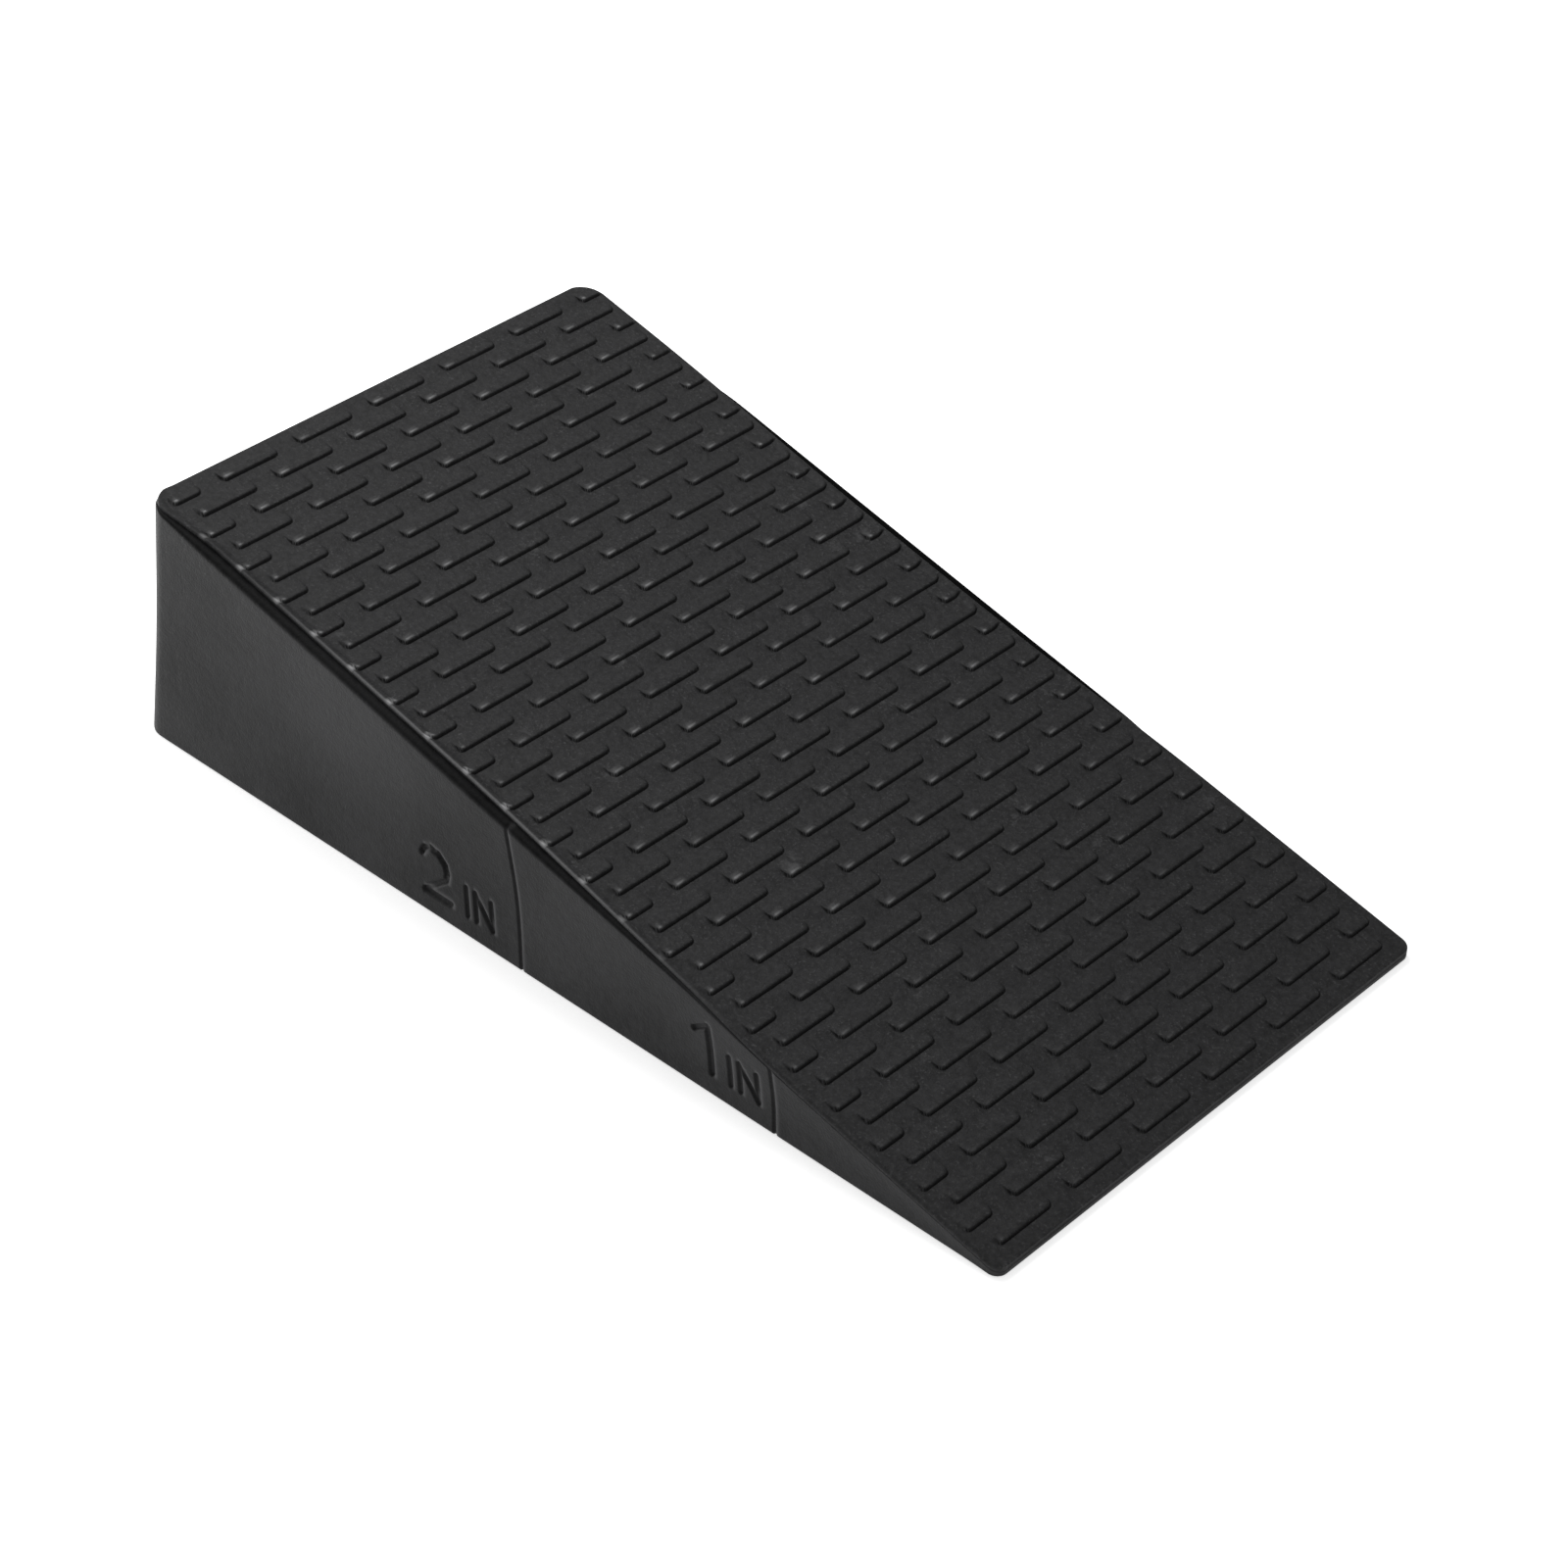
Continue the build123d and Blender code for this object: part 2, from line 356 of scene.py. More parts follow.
def tread_points():
    """The top's points as an array [row, column, 3], with painted crease shade and painted highlight values
    for each point.
    """
    up = rows_up[:, None]
    near = -(half_width(up, -1) - rim_inset(up, -1) - corner_cut(up))
    far = half_width(up, 1) - rim_inset(up, 1) - corner_cut(up)
    edge = np.array(EDGE_STEPS)
    left, right = near + edge, far - edge[::-1]
    inner = columns + PATTERN_OFFSET + COLUMN_DRIFT * up
    room = right[:, :1] - ROOM_AT_RIM - SQUEEZE_FROM
    squeeze = np.minimum(1.0, room / (inner[:, -1:] - SQUEEZE_FROM))
    inner = np.where(inner > SQUEEZE_FROM, SQUEEZE_FROM + (inner - SQUEEZE_FROM) * squeeze, inner)
    share = np.arange(1, FILL_LINES + 1) / (FILL_LINES + 1)
    fill_left = left[:, -1:] + (inner[:, :1] - left[:, -1:]) * share
    fill_right = inner[:, -1:] + (right[:, :1] - inner[:, -1:]) * share
    across = np.concatenate([left, fill_left, inner, fill_right, right], axis=1)
    up = up + 0 * across
    rise, crease_shade, painted_highlight = stud_relief(up, across)
    to_near, to_far = across - near, far - across
    to_rim = np.minimum(np.minimum(to_near, to_far), np.minimum(up, slope_length - up))
    lip = lip_radius(up, to_near <= to_rim)
    drop = lip - np.sqrt(lip ** 2 - np.clip(lip - to_rim, 0, lip) ** 2)
    curl = RIM_CURL * rim_share(up, -1) * (1 - smooth_step(*CURL_REACH, to_near))
    curl += RIM_CURL * rim_share(up, 1) * (1 - smooth_step(*CURL_REACH, to_far))
    keep = smooth_step(*STUDS_FADE, to_rim) * smooth_step(*FAR_STUDS_FADE, to_far)
    # painted highlight along the near rim, and painted highlight spots where half studs meet it
    highlight = np.exp(-((to_near - HIGHLIGHT_PLACE) / HIGHLIGHT_WIDTH) ** 2) * rim_highlight(up)
    half_stud = np.mod(up - TOE_MARGIN - ROW_PITCH, 2 * ROW_PITCH)
    off_spot = ((to_near - RIM_SPOT_PLACE[0]) / RIM_SPOT_SIZE[0]) ** 2
    off_spot = off_spot + ((half_stud - RIM_SPOT_PLACE[1]) / RIM_SPOT_SIZE[1]) ** 2
    rim_spot = np.exp(-off_spot) * smooth_step(*SPOTS_START, slope_length - up) * smooth_step(*SPOTS_END, up)
    painted_highlight = np.clip(painted_highlight + RIM_HIGHLIGHT * highlight + rim_spot, 0, 1)
    return on_slope(up, across, rise * keep + RIM_SPOT_RISE * rim_spot + curl - drop), crease_shade * keep, painted_highlight


top_points, top_crease_shade, top_painted_highlight = tread_points()
print("tread top points:", top_points.shape[:2])


# %% [markdown]
# A closed mesh needs a wall below the top's edge and a flat underside. The wall drops straight to the
# glue plane. The underside is one flat face, since it is glued down and never seen.

# %% Mesh from points
def make_mesh(name, points, faces, attributes):
    """A mesh object from points in millimetres, faces as index lists, and values per point by name."""
    mesh = bpy.data.meshes.new(name)
    mesh.from_pydata((np.asarray(points) * MM).tolist(), [], faces)
    for label, values in attributes.items():
        attribute = mesh.attributes.new(label, "FLOAT", "POINT")
        attribute.data.foreach_set("value", np.asarray(values, dtype=np.float32))
    mesh.update()
    piece = bpy.data.objects.new(name, mesh)
    bpy.context.scene.collection.objects.link(piece)
    return piece


def build_tread():
    """The whole tread sheet: the studded top, the wall round it and the glued underside."""
    count_up, count_across = top_points.shape[:2]
    index = np.arange(count_up * count_across).reshape(count_up, count_across)
    corners = [index[:-1, :-1], index[:-1, 1:], index[1:, 1:], index[1:, :-1]]
    faces = np.stack(corners, -1).reshape(-1, 4).tolist()
    ring = np.concatenate([index[0, :-1], index[:-1, -1], index[-1, :0:-1], index[:0:-1, 0]])
    points = top_points.reshape(-1, 3)
    foot = points[ring].copy()
    foot[:, 2] = glue_toe_z + (toe_x - foot[:, 0]) * math.tan(slope)
    feet = len(points) + np.arange(len(ring))
    faces += np.stack([np.roll(ring, -1), ring, feet, np.roll(feet, -1)], -1).tolist()
    faces.append(feet.tolist())
    attributes = {
        "crease_shade": np.concatenate([top_crease_shade.ravel(), np.zeros(len(ring))]),
        # the rim's painted highlight, carried at half strength onto the foot of the wall
        "painted_highlight": np.concatenate([top_painted_highlight.ravel(), 0.5 * top_painted_highlight.ravel()[ring]]),
    }
    return make_mesh("tread", np.concatenate([points, foot]), faces, attributes), len(ring) + 1


tread, tread_wall_faces = build_tread()
print("tread faces:", len(tread.data.polygons))

# %% [markdown]
# ## The foam block
#
# Closed-cell foam shrinks a little as it cures, so the sides of a moulded block are slightly hollow
# between their edges, and all its edges are soft. A subdivided box could give that, but the pressed
# marks need far finer points than the rest. So the block is made as upright lines of points round the
# outline, from the ground up to the ledge, and each point is drawn in by the hollow, by a rounded edge
# at the top and bottom, and by a mark where there is one.

# %% Outline of the base
FINE_STEP = 0.28
COARSE_STEP = 5.0
MARK_ZONES = ((-60.0, 0.0), (62.0, 105.0))     # stretches of the near side with fine points, for the marks
ARC_POINTS = 12                                # round a corner, with its two ends
END_POINTS = 40                                # across the toe, and across the thick end


def side_stations(fine):
    """X places along a long side, from the thick end to the toe, closer together where fine is set."""
    places = [core_low[0] + thick_corner]
    while places[-1] < toe_x - toe_corner:
        step = COARSE_STEP
        for low, high in MARK_ZONES:
            if fine and low - COARSE_STEP < places[-1] < high:
                step = FINE_STEP
        places.append(places[-1] + step)
    places[-1] = toe_x - toe_corner
    return np.array(places)


def corner_arc(corner_x, corner_y, radius, start):
    """Points with normals round a quarter of a circle, without its two ends."""
    turns = np.radians(np.linspace(start, start + 90, ARC_POINTS))[1:-1]
    normals = [(math.cos(t), math.sin(t)) for t in turns]
    return [(corner_x + radius * nx, corner_y + radius * ny, nx, ny) for nx, ny in normals]


def base_outline():
    """Points round the base as X, Y and outward normal, starting on the near side at the thick end."""
    half = base_width / 2
    back = core_low[0]
    loop = [(x, -half, 0.0, -1.0) for x in side_stations(True)]
    loop += corner_arc(toe_x - toe_corner, -half + toe_corner, toe_corner, -90)
    toe_end = np.linspace(-half + toe_corner, half - toe_corner, END_POINTS)
    loop += [(toe_x, y, 1.0, 0.0) for y in toe_end]
    loop += corner_arc(toe_x - toe_corner, half - toe_corner, toe_corner, 0)
    loop += [(x, half, 0.0, 1.0) for x in side_stations(False)[::-1]]
    loop += corner_arc(back + thick_corner, half - thick_corner, thick_corner, 90)
    thick_end = np.linspace(half - thick_corner, -half + thick_corner, END_POINTS)
    loop += [(back, y, -1.0, 0.0) for y in thick_end]
    loop += corner_arc(back + thick_corner, -half + thick_corner, thick_corner, 180)
    return np.array(loop)


outline = base_outline()
print("outline points:", len(outline))


# %% [markdown]
# ## Height marks
#
# The near side carries a line and a figure for every inch of lift, pressed into the foam by a plate in
# the mould. They could be text objects cut in with a boolean, but soft grooves suit a formula better: a
# point of the wall sinks by how near it is to a stroke. Each groove has a steep wall on its lower left,
# which is painted dark as shade, and a slow ramp up to the right, which gets a painted highlight. The
# strokes are plain ones, and all of them lean back a little towards the thick end.

# %% Strokes of the marks
INCH = 25.4
LINE_LEAN = math.tan(math.radians(7))
TEXT_LEAN = math.tan(math.radians(8.5))
LINE_OVERSHOOT = 20                # a line is drawn this much past its height, so that it meets the tread
FIGURE = 16.5                      # height of the figures,
UNIT = 10.0                        # and of the letters
TEXT_BASE = 8.0                    # both stand this high above the ground
LETTER_GAPS = (7.8, 4.0, 0.0)      # after the figure, the I and the N
MARKS = {1: (2.3, 6.2), 2: (-2.1, 12.3)}       # for each inch: shift of the line, gap from the N to the line
STROKE_HALF = {"line": 1.0, "figure": 1.75, "unit": 1.35}
MARK_DEPTH = 0.6                   # times half the stroke's width
UPPER_RIGHT = (0.8, 0.6)           # the side of a groove that has its slow ramp
FLOOR_SHARE = 0.22                 # the deep floor's reach, times half the stroke: more on the lower left
GROOVE_SHARE = 0.88                # and the whole groove's reach,
RAMP_SHARE = 0.17                  # with this much more on the upper right
STEEP_WALL = (0.62, 0.42)          # where it lies, times half the stroke's width, and how wide it is in mm
SLOW_RAMP = (0.85, 0.85)
BOWL = [(0, 0.8), (0.12, 0.93), (0.38, 1), (0.67, 0.96), (0.9, 0.8), (0.95, 0.62), (0.88, 0.46)]
GLYPHS = {
    1: ([(0, 0.78), (0.36, 1), (0.36, 0)], 0.36, FIGURE, "figure"),
    2: ([(0.71 * x, z) for x, z in (*BOWL, (0, 0), (1, 0))], 0.71, FIGURE, "figure"),
    "I": ([(0, 0), (0, 1)], 0.0, UNIT, "unit"),
    "N": ([(0, 0), (0, 1), (0.72, 0), (0.72, 1)], 0.72, UNIT, "unit"),
}


def mark_strokes(inches):
    """Segments of one mark as (x1, z1, x2, z2, half width): its line first, then the figure and I, N."""
    shift, gap = MARKS[inches]
    foot = toe_x - (inches * INCH - toe_height) / math.tan(slope) + shift
    reach = inches * INCH + LINE_OVERSHOOT
    segments = [(foot, 0.0, foot - reach * LINE_LEAN, reach, STROKE_HALF["line"])]
    glyphs = [GLYPHS[key] for key in (inches, "I", "N")]
    left = foot - TEXT_BASE * LINE_LEAN - gap - sum(LETTER_GAPS)
    left -= sum(wide * size for _, wide, size, _ in glyphs)
    for (shape, wide, size, kind), space in zip(glyphs, LETTER_GAPS):
        places = [(left + size * (x - z * TEXT_LEAN), TEXT_BASE + size * z) for x, z in shape]
        for (x1, z1), (x2, z2) in zip(places, places[1:]):
            segments.append((x1, z1, x2, z2, STROKE_HALF[kind]))
        left += wide * size + space
    return segments


def press(x, z):
    """At points of the near side: the marks' depth, and shares of painted shade on the lower wall and
    painted highlight on the upper ramp.
    """
    depth, dark, pale = np.zeros((3, len(x)))
    for inches in MARKS:
        for x1, z1, x2, z2, half in mark_strokes(inches):
            along = np.array([x2 - x1, z2 - z1])
            t = np.clip(((x - x1) * along[0] + (z - z1) * along[1]) / (along @ along), 0, 1)
            off_x, off_z = x - x1 - t * along[0], z - z1 - t * along[1]
            away = np.hypot(off_x, off_z)
            upper_right = (UPPER_RIGHT[0] * off_x + UPPER_RIGHT[1] * off_z) / np.maximum(away, 1e-6)
            floor_end = half * (FLOOR_SHARE - FLOOR_SHARE * upper_right)
            groove_end = half * (GROOVE_SHARE + RAMP_SHARE * upper_right)
            depth = np.maximum(depth, MARK_DEPTH * half * (1 - smooth_step(floor_end, groove_end, away)))
            steep = np.exp(-((away - STEEP_WALL[0] * half) / STEEP_WALL[1]) ** 2)
            # painted shade on a groove's steep lower-left wall, and a painted highlight on its slow
            # upper-right ramp
            dark = np.maximum(dark, steep * smooth_step(0.1, 0.6, -upper_right))
            slow = np.exp(-((away - SLOW_RAMP[0] * half) / SLOW_RAMP[1]) ** 2)
            pale = np.maximum(pale, slow * smooth_step(0.0, 0.6, upper_right))
    return depth, dark, pale * (1 - dark)


print("strokes:", [len(mark_strokes(inches)) for inches in MARKS])

# %% Upright lines of the block
BOTTOM_EDGE = 1.2                  # radius of the edge at the ground
LEAST_TOP_EDGE = 0.1               # and of the top edge where the sheet runs flush
SHOULDER = {-1: 0.45, 1: 0.1}      # the top edge grows by this share of the rim's inset beside it
EDGE_SHARE = 0.3                   # but no edge takes more than this share of the height
EDGE_LEVELS = 5                    # points round each edge
WALL_LEVELS = 96                   # and between the edges


def wall_profile(height, bottom, top):
    """Heights and inward rounding of one upright line of points: a soft edge, the wall, a soft edge."""
    quarter = np.radians(np.linspace(0, 90, EDGE_LEVELS))
    low_z, low_in = bottom * (1 - np.cos(quarter)), bottom * (1 - np.sin(quarter))
    high_z, high_in = height - top * (1 - np.sin(quarter)), top * (1 - np.cos(quarter))
    middle = np.linspace(bottom, height - top, WALL_LEVELS + 2)[1:-1]
    z = np.concatenate([low_z, middle, high_z])
    inward = np.concatenate([low_in, np.zeros(WALL_LEVELS), high_in])
    return z, inward


print("levels from the ground to the top edge:", len(wall_profile(50.0, BOTTOM_EDGE, 1.0)[0]))

# %% [markdown]
# The ledge lies almost level with the tread. It is painted nearly black as shade, a little less dark on
# the near side and at its inner edge there. The hollow is fullest in the middle of a side and dies away
# towards the upright corners and where the block gets thin.

# %% Points of the block
HOLLOW = 1.6                       # the most that a side is drawn in, at mid height
HOLLOW_POWER = 1.2                 # above 1, the hollow keeps clear of the edges
HOLLOW_EASE = 70.0                 # it grows over this distance from a corner of the thick end,
CORNER_HOLLOW = 0.35               # from this share of it
FULL_HOLLOW_HEIGHT = 60.0          # and it is less where the block is lower than this
LEDGE_LEVELS = 2                   # the ledge's inner edge, and its foot on the glue plane
LEDGE_TUCK = 0.1                   # the ledge goes this far in under the sheet
LEDGE_RISEN = 1.2                  # it has its full height where the rim is drawn in this much,
LEDGE_BLACK = 1.8                  # and its full black where it is drawn in this much
LEDGE_SHADE = {-1: 0.72, 1: 1.0}   # how black the ledge is on each side,
INNER_SHADE = 0.6                  # times this at the near side's inner edge
MARK_SHADE = 0.5                   # how black the lower walls of the marks are


def block_points():
    """Points [outline, level, 3] of the block's wall and ledge, with its painted shade and painted highlight
    shares.
    """
    x0, y0, nx, ny = outline.T
    share = (x0 - core_low[0]) / base_length
    x1 = glue_back_x + share * (toe_x - glue_back_x)
    z1 = glue_toe_z + (toe_x - x1) * math.tan(slope)
    lean_share = np.where(y0 > 0, LEAN_SHARE[1], LEAN_SHARE[-1])
    y1 = y0 * (1 - lean_share * z1 * math.tan(side_lean) / (base_width / 2))
    up = (toe_x - x1) / math.cos(slope)
    inset = np.where(ny < -0.3, rim_inset(up, -1), np.where(ny > 0.3, rim_inset(up, 1), 0.0))
    wall = np.zeros((len(outline), WALL_LEVELS + 2 * EDGE_LEVELS + LEDGE_LEVELS, 3))
    shade, highlight = np.zeros((2, *wall.shape[:2]))
    for k, glue in enumerate(z1):
        height = glue + (sheet_thickness - LEDGE_DROP) * smooth_step(0.0, LEDGE_RISEN, inset[k])
        side = -1 if ny[k] < 0 else 1
        top = min(LEAST_TOP_EDGE + SHOULDER[side] * inset[k], EDGE_SHARE * height)
        z, inward = wall_profile(height, min(BOTTOM_EDGE, EDGE_SHARE * height), top)
        z = np.append(z, [height, glue])
        inward = np.append(inward, LEDGE_LEVELS * [max(inset[k] + LEDGE_TUCK, top)])
        t = z / glue
        from_corner = x0[k] - core_low[0] if abs(ny[k]) > 0.5 else base_width / 2 - abs(y0[k])
        ease = CORNER_HOLLOW + (1 - CORNER_HOLLOW) * smooth_step(0, HOLLOW_EASE, from_corner)
        hollow = HOLLOW * ease * min(glue / FULL_HOLLOW_HEIGHT, 1)
        drawn_in = inward + hollow * np.sin(math.pi * np.clip(t, 0, 1)) ** HOLLOW_POWER
        x = x0[k] + (x1[k] - x0[k]) * t
        y = y0[k] + (y1[k] - y0[k]) * t
        depth, dark, highlight[k] = press(x, z) if ny[k] < -0.999 else (0.0, 0.0, 0.0)
        drawn_in = drawn_in + depth
        wall[k, :, 0] = x - nx[k] * drawn_in
        wall[k, :, 1] = y - ny[k] * drawn_in
        wall[k, :, 2] = z
        # painted shade: the ledge is painted nearly black, and so are the marks' lower walls
        shade[k] = smooth_step(height - 1.1 * top, height - 0.2 * top, z)
        shade[k] *= smooth_step(0.0, LEDGE_BLACK, inset[k])
        shade[k] *= LEDGE_SHADE[side]
        if side == -1:
            shade[k, -LEDGE_LEVELS:] *= INNER_SHADE
        shade[k] = np.maximum(shade[k], MARK_SHADE * dark)
    return wall, shade, highlight


block_wall, block_shade, block_highlight = block_points()
print("block wall points:", block_wall.shape[:2])


# %% Build the block
def build_block():
    """The foam block: its wall, a flat base and a flat glue face."""
    count, levels = block_wall.shape[:2]
    index = np.arange(count * levels).reshape(count, levels)
    after = np.roll(index, -1, axis=0)
    corners = [index[:, :-1], after[:, :-1], after[:, 1:], index[:, 1:]]
    faces = np.stack(corners, -1).reshape(-1, 4).tolist()
    faces.append(index[::-1, 0].tolist())
    faces.append(index[:, -1].tolist())
    attributes = {"shaded": block_shade.ravel(), "painted_highlight": block_highlight.ravel()}
    return make_mesh("foam_block", block_wall.reshape(-1, 3), faces, attributes)


block = build_block()
print("block faces:", len(block.data.polygons))


# %% Smooth shading
def shade_smooth(piece, flat_faces):
    """Smooth shading everywhere but on the last flat_faces faces, which are the flat caps."""
    values = np.ones(len(piece.data.polygons), dtype=bool)
    values[len(values) - flat_faces:] = False
    piece.data.polygons.foreach_set("use_smooth", values)
    piece.data.update()


shade_smooth(tread, 1)
shade_smooth(block, 2)

# %% [markdown]
# ## Materials
#
# Both pieces are black closed-cell foam rubber (EVA). Its colour is a near-black grey, its IOR is near
# 1.5, and its skin is matt. Its grain could be painted on an unwrapped mesh, but noise at the grain's
# real size needs no unwrapping. One function turns a written colour into linear light, and one adds a
# node with its settings and links. Pattern scales are one over a size in metres.


# %% Helpers for materials
def linear(code):
    """A linear colour from an sRGB hex code such as "1c1c1d"."""
    parts = [int(code[i:i + 2], 16) / 255 for i in (0, 2, 4)]
    return tuple(v / 12.92 if v <= 0.04045 else ((v + 0.055) / 1.055) ** 2.4 for v in parts) + (1.0,)


def add_node(tree, kind, settings=None, **inputs):
    """Adds a node. settings are its own properties; inputs are values or sockets, by name or as _index."""
    node = tree.nodes.new(kind)
    for key, value in (settings or {}).items():
        setattr(node, key, value)
    for key, value in inputs.items():
        socket = node.inputs[int(key[1:])] if key[0] == "_" else node.inputs[key.replace("_", " ")]
        if isinstance(value, bpy.types.NodeSocket):
            tree.links.new(value, socket)
        else:
            socket.default_value = value
    return node


def per_mm(size):
    """The texture scale that makes a pattern's features about size millimetres wide."""
    return 1 / (size * MM)


def new_material(name):
    """An empty node material: its tree, its shader and its output."""
    material = bpy.data.materials.new(name)
    material.use_nodes = True
    tree = material.node_tree
    tree.nodes.clear()
    shader = add_node(tree, "ShaderNodeBsdfPrincipled")
    add_node(tree, "ShaderNodeOutputMaterial", Surface=shader.outputs["BSDF"])
    return material, tree, shader


EVA_IOR = 1.48
print(f"a pattern of 2 mm has the scale {per_mm(2.0):.0f}")


# %% [markdown]
# ### The tread: moulded EVA skin
#
# The sheet is pressed in a blasted steel mould, so it is matt, with a fine grain that holds pale dust
# in specks, and with a few scuffs in patches. The feet of the studs are painted near black as shade,
# with little gloss. Their near corners and the near rim are painted paler as highlights, and there the
# skin is also made smoother, so that it catches the light. The mesh's crease_shade and painted_highlight
# values place both.

# %% Tread material
def moulded_eva_skin():
    """Black EVA pressed in a blasted mould: grain about 0.5 mm, drawn at 0.9 mm so that it shows."""
    material, tree, shader = new_material("moulded_eva_skin")
    place = add_node(tree, "ShaderNodeTexCoord").outputs["Object"]
    grain = add_node(tree, "ShaderNodeTexNoise", Vector=place,
                     Scale=per_mm(0.9), Detail=2.0, Roughness=0.6)
    mottle = add_node(tree, "ShaderNodeTexNoise", Vector=place,
                      Scale=per_mm(2.0), Detail=2.0, Roughness=0.6)
    patch = add_node(tree, "ShaderNodeTexNoise", Vector=place,
                     Scale=per_mm(14.0), Detail=4.0, Roughness=0.7)
    crease_shade = add_node(tree, "ShaderNodeAttribute", {"attribute_name": "crease_shade"}).outputs["Fac"]
    painted_highlight = add_node(tree, "ShaderNodeAttribute", {"attribute_name": "painted_highlight"}).outputs["Fac"]
    tone = add_node(tree, "ShaderNodeMapRange", Value=mottle.outputs["Fac"],
                    _1=0.3, _2=0.7, _3=0.0, _4=1.0)
    base = add_node(tree, "ShaderNodeMix", {"data_type": "RGBA"}, _0=tone.outputs["Result"],
                    _6=linear("0e0e0f"), _7=linear("242425"))
    fleck = add_node(tree, "ShaderNodeMapRange", Value=grain.outputs["Fac"],
                     _1=0.56, _2=0.72, _3=0.0, _4=1.0)
    where = add_node(tree, "ShaderNodeMapRange", Value=patch.outputs["Fac"],
                     _1=0.42, _2=0.68, _3=0.3, _4=0.8)
    amount = add_node(tree, "ShaderNodeMath", {"operation": "MULTIPLY"}, _0=fleck.outputs["Result"],
                      _1=where.outputs["Result"])
    dusty = add_node(tree, "ShaderNodeMix", {"data_type": "RGBA"}, _0=amount.outputs["Value"],
                     _6=base.outputs[2], _7=linear("464647"))
    scuff = add_node(tree, "ShaderNodeMapRange", Value=patch.outputs["Fac"],
                     _1=0.66, _2=0.76, _3=0.0, _4=0.5)
    scuffed = add_node(tree, "ShaderNodeMix", {"data_type": "RGBA"}, _0=scuff.outputs["Result"],
                       _6=dusty.outputs[2], _7=linear("505051"))
    # painted highlight on the stud corners and along the near rim
    highlight = add_node(tree, "ShaderNodeMix", {"data_type": "RGBA"}, _0=painted_highlight,
                      _6=scuffed.outputs[2], _7=linear("9a9a9b"))
    # painted shade: near black in the creases at the studs' feet
    dark = add_node(tree, "ShaderNodeMix", {"data_type": "RGBA"}, _0=crease_shade,
                    _6=highlight.outputs[2], _7=linear("080808"))
    rough = add_node(tree, "ShaderNodeMapRange", Value=painted_highlight, _1=0.0, _2=1.0, _3=0.66, _4=0.32)
    gloss = add_node(tree, "ShaderNodeMapRange", Value=crease_shade, _1=0.0, _2=1.0, _3=0.32, _4=0.05)
    height = add_node(tree, "ShaderNodeMath", {"operation": "MULTIPLY_ADD"}, _0=mottle.outputs["Fac"],
                      _1=1.5, _2=grain.outputs["Fac"])
    bump = add_node(tree, "ShaderNodeBump", Strength=0.5, Distance=0.25 * MM, Height=height.outputs["Value"])
    tree.links.new(dark.outputs[2], shader.inputs["Base Color"])
    tree.links.new(rough.outputs["Result"], shader.inputs["Roughness"])
    tree.links.new(gloss.outputs["Result"], shader.inputs["Specular IOR Level"])
    tree.links.new(bump.outputs["Normal"], shader.inputs["Normal"])
    shader.inputs["IOR"].default_value = EVA_IOR
    return material


# %% [markdown]
# ### The block: moulded EVA foam
#
# The block's skin is smoother. Closed cells a few tenths of a millimetre wide lie just below it, and
# the way they crowd and thin out leaves a soft mottle some 3 mm wide, with slow clouds some 60 mm wide
# under it. The ledge beside the tread's rim is painted nearly black as shade, with little gloss, and so
# are the lower walls of the marks: the mesh's shaded value places both, and its painted_highlight value
# places a painted highlight on the marks' ramps.

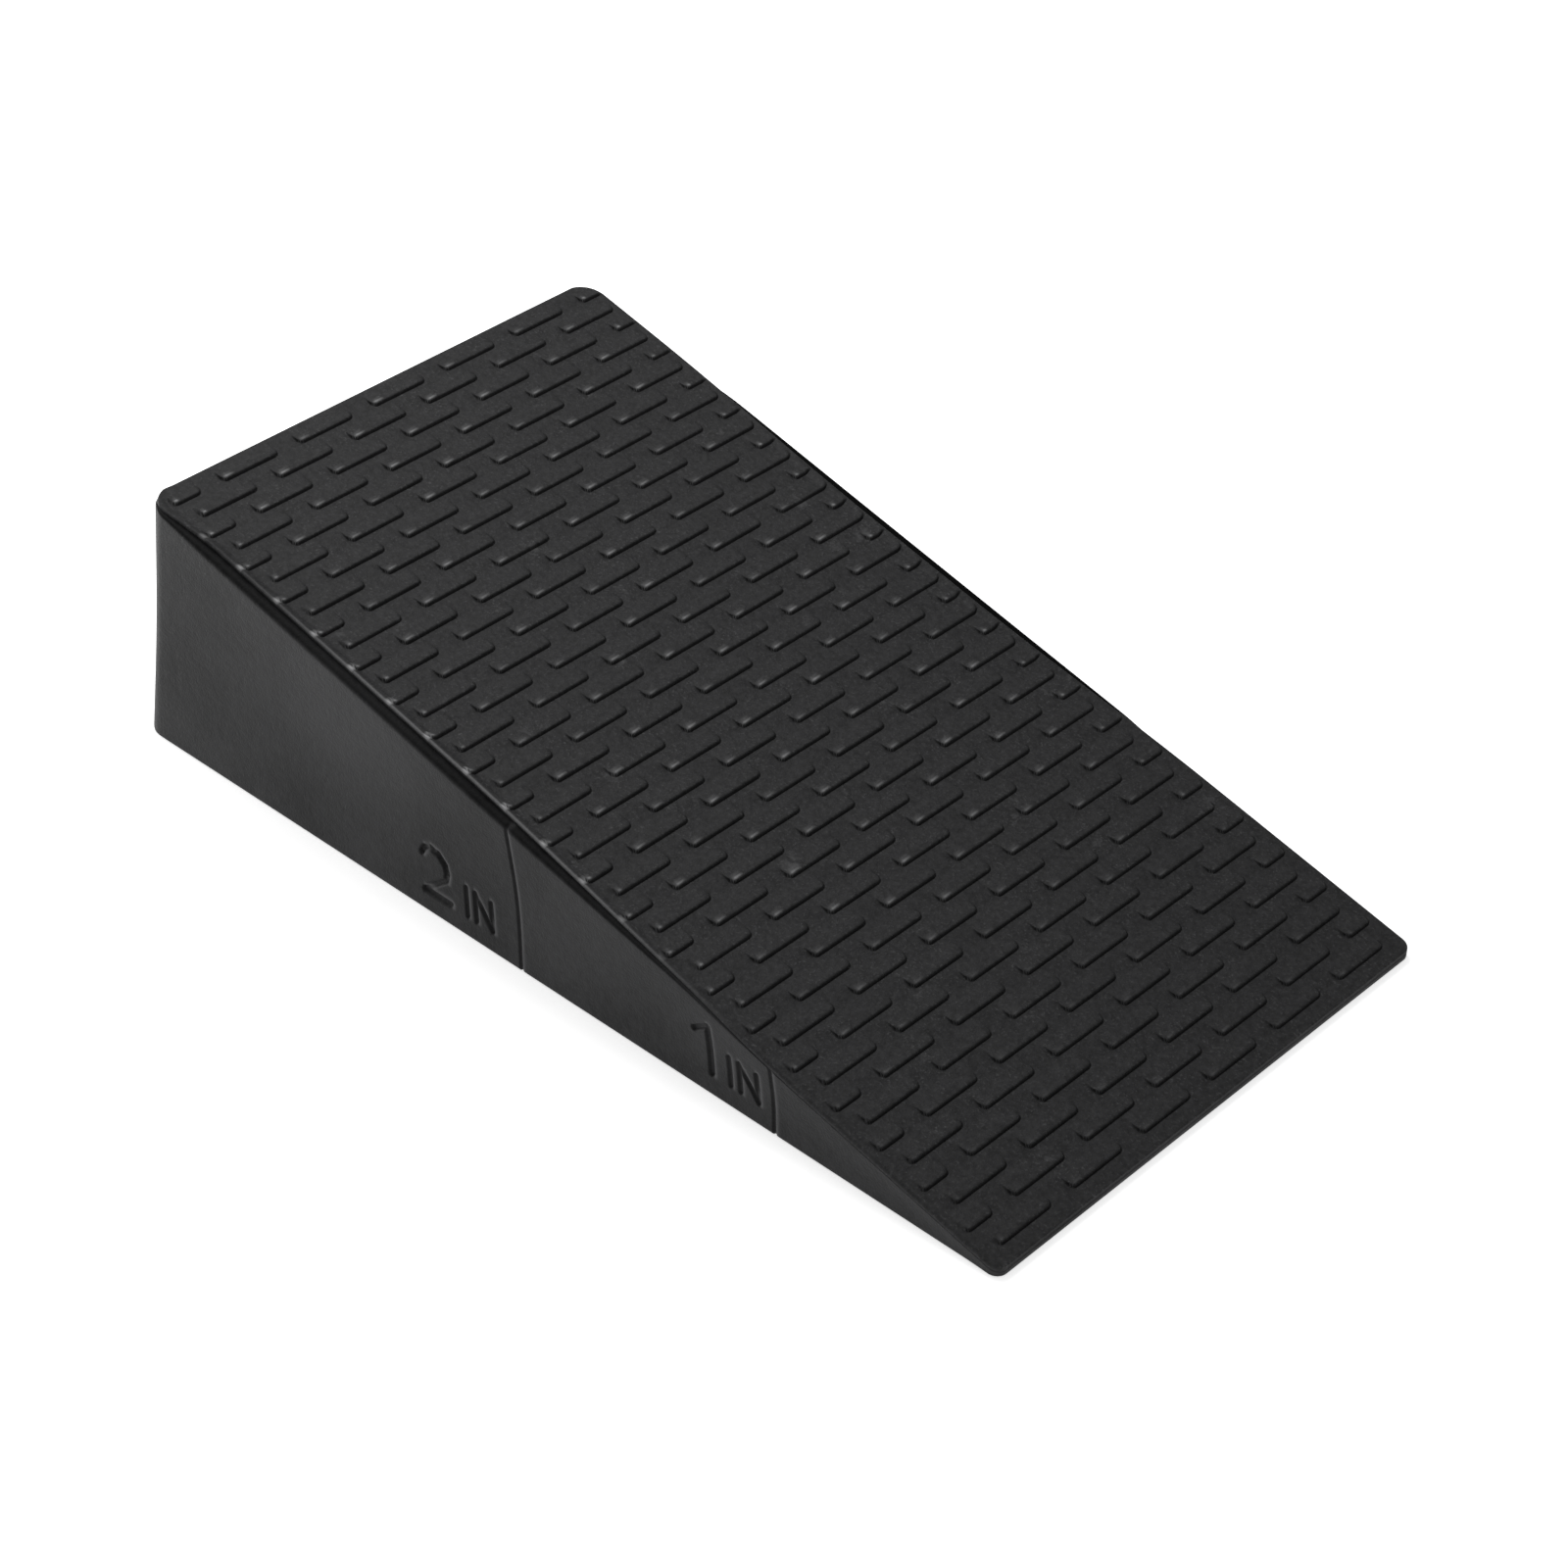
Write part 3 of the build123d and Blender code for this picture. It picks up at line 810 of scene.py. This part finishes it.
# %% Foam material
def moulded_eva_foam():
    """Black closed-cell EVA foam: cells about 0.3 mm, drawn at 0.8 mm, under a slightly mottled skin."""
    material, tree, shader = new_material("moulded_eva_foam")
    place = add_node(tree, "ShaderNodeTexCoord").outputs["Object"]
    cells = add_node(tree, "ShaderNodeTexNoise", Vector=place,
                     Scale=per_mm(0.8), Detail=2.0, Roughness=0.6)
    mottle = add_node(tree, "ShaderNodeTexNoise", Vector=place,
                      Scale=per_mm(3.5), Detail=5.0, Roughness=0.62)
    cloud = add_node(tree, "ShaderNodeTexNoise", Vector=place,
                     Scale=per_mm(60.0), Detail=3.0, Roughness=0.5)
    shaded = add_node(tree, "ShaderNodeAttribute", {"attribute_name": "shaded"}).outputs["Fac"]
    painted_highlight = add_node(tree, "ShaderNodeAttribute", {"attribute_name": "painted_highlight"}).outputs["Fac"]
    mixed = add_node(tree, "ShaderNodeMath", {"operation": "ADD"},
                     _0=mottle.outputs["Fac"], _1=cloud.outputs["Fac"])
    tone = add_node(tree, "ShaderNodeMapRange", Value=mixed.outputs["Value"],
                    _1=0.75, _2=1.25, _3=0.0, _4=1.0)
    base = add_node(tree, "ShaderNodeMix", {"data_type": "RGBA"}, _0=tone.outputs["Result"],
                    _6=linear("101011"), _7=linear("2d2d2e"))
    # painted highlight on the marks' upper-right ramps
    highlight = add_node(tree, "ShaderNodeMix", {"data_type": "RGBA"}, _0=painted_highlight,
                      _6=base.outputs[2], _7=linear("474748"))
    # painted shade: near black on the ledge and on the marks' lower walls
    dark = add_node(tree, "ShaderNodeMix", {"data_type": "RGBA"}, _0=shaded,
                    _6=highlight.outputs[2], _7=linear("070707"))
    rough = add_node(tree, "ShaderNodeMapRange", Value=mottle.outputs["Fac"],
                     _1=0.3, _2=0.7, _3=0.55, _4=0.68)
    gloss = add_node(tree, "ShaderNodeMapRange", Value=shaded, _1=0.0, _2=1.0, _3=0.21, _4=0.03)
    height = add_node(tree, "ShaderNodeMath", {"operation": "MULTIPLY_ADD"}, _0=mottle.outputs["Fac"],
                      _1=1.6, _2=cells.outputs["Fac"])
    bump = add_node(tree, "ShaderNodeBump", Strength=0.5, Distance=0.35 * MM, Height=height.outputs["Value"])
    tree.links.new(dark.outputs[2], shader.inputs["Base Color"])
    tree.links.new(rough.outputs["Result"], shader.inputs["Roughness"])
    tree.links.new(gloss.outputs["Result"], shader.inputs["Specular IOR Level"])
    tree.links.new(bump.outputs["Normal"], shader.inputs["Normal"])
    shader.inputs["IOR"].default_value = EVA_IOR
    return material


skin = moulded_eva_skin()
foam = moulded_eva_foam()
block.data.materials.append(foam)
tread.data.materials.append(skin)
tread.data.materials.append(foam)
slots = np.zeros(len(tread.data.polygons), dtype=np.int32)
slots[len(slots) - tread_wall_faces:] = 1
tread.data.polygons.foreach_set("material_index", slots)
print("materials:", skin.name, foam.name)

# %% [markdown]
# ## Put each piece on the body
#
# Each mesh rides on the one body, and the CAD node that it stands for is hidden. The tread's wall and
# underside show bare foam, so they have the foam's material.

# %% Ride and replace
for piece, node, slot in ((block, "core_block", "foam"), (tread, "tread_sheet", "tread")):
    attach(piece, "root")
    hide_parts(node)
    print(piece.name, "stands for", node)

# %% [markdown]
# ## Floor and light
#
# Plain studio: a pale floor that runs on to a pale background, one light low beyond the thick end and
# a little to the near side, and a broad one high behind the thick end. Both leave the studs' lower
# walls in the dark, helped by painted shade there, and the low one draws the pressed marks: the left
# wall of each groove is dark and the right wall is bright, helped by painted shade and a painted highlight.


# %% Floor
FLOOR_SIZE = 12                    # metres
FLOOR_GAP = 0.0002                 # metres below the base, so that the two faces don't flicker
FLOOR_GLOW = 0.6


def pale_floor():
    """A plain white sweep. It gives a little light of its own, so that shadows on it stay faint."""
    material, tree, shader = new_material("white_sweep")
    shader.inputs["Base Color"].default_value = linear("f2f2f2")
    shader.inputs["Roughness"].default_value = 0.9
    shader.inputs["Emission Color"].default_value = linear("ffffff")
    shader.inputs["Emission Strength"].default_value = FLOOR_GLOW
    bpy.ops.mesh.primitive_plane_add(size=FLOOR_SIZE, location=(0, 0, cad_low.z - FLOOR_GAP))
    floor = bpy.context.object
    floor.name = "studio_floor"
    floor.data.materials.append(material)
    return floor


floor = pale_floor()
print("floor at", round(floor.location.z, 5))

# %% Lights
ROOM_LIGHT = 0.45
world = bpy.data.worlds.new("pale_room")
world.use_nodes = True
background = world.node_tree.nodes["Background"]
background.inputs["Color"].default_value = (1, 1, 1, 1)
background.inputs["Strength"].default_value = ROOM_LIGHT
bpy.context.scene.world = world
bpy.context.scene.view_settings.view_transform = "Standard"


def soft_light(name, azimuth, elevation, distance, size, power):
    """A square area light that faces the object: angles in degrees, with 0 on the -Y side, and metres."""
    a, e = math.radians(azimuth), math.radians(elevation)
    place = Vector((math.sin(a) * math.cos(e), -math.cos(a) * math.cos(e), math.sin(e))) * distance
    light = bpy.data.objects.new(name, bpy.data.lights.new(name, "AREA"))
    light.data.shape = "SQUARE"
    light.data.size = size
    light.data.energy = power
    light.location = place
    light.rotation_euler = place.to_track_quat("Z", "Y").to_euler()
    bpy.context.scene.collection.objects.link(light)
    return light


low_key = soft_light("low_key", azimuth=-75, elevation=9, distance=0.62, size=0.18, power=1.9)
high_fill = soft_light("high_fill", azimuth=-110, elevation=62, distance=1.1, size=0.5, power=5.5)
print(f"lights: {low_key.data.energy:.1f} and {high_fill.data.energy:.1f} watts")

# %% [markdown]
# ## Camera
#
# A long lens about 1.2 metres off, above the toe and the near side, turned a touch about its own axis. It
# could be aimed at a point with a constraint. Three axes written out keep the small turn exact.

# %% Camera
AZIMUTH = math.radians(41.867)
ELEVATION = math.radians(37.252)
ROLL = math.radians(1.64)
CAMERA_PLACE = Vector((0.64126, -0.70271, 0.74512))
SENSOR = 36
LENS = 85.84
level = math.cos(ELEVATION)
back = Vector((math.sin(AZIMUTH) * level, -math.cos(AZIMUTH) * level, math.sin(ELEVATION)))
right = Vector((math.cos(AZIMUTH), math.sin(AZIMUTH), 0))
above = back.cross(right)
turned_right = right * math.cos(ROLL) + above * math.sin(ROLL)
turned_up = above * math.cos(ROLL) - right * math.sin(ROLL)
camera = bpy.data.objects.new("camera", bpy.data.cameras.new("camera"))
bpy.context.scene.collection.objects.link(camera)
turn = Matrix((turned_right, turned_up, back)).transposed().to_4x4()
camera.matrix_world = Matrix.Translation(CAMERA_PLACE) @ turn
camera.data.sensor_width = SENSOR
camera.data.lens = LENS
bpy.context.scene.camera = camera
print(f"camera {CAMERA_PLACE.length:.2f} m from the middle of the base")

# %% Finish
print("CAD box", [round(v, 4) for v in (*cad_low, *cad_high)])
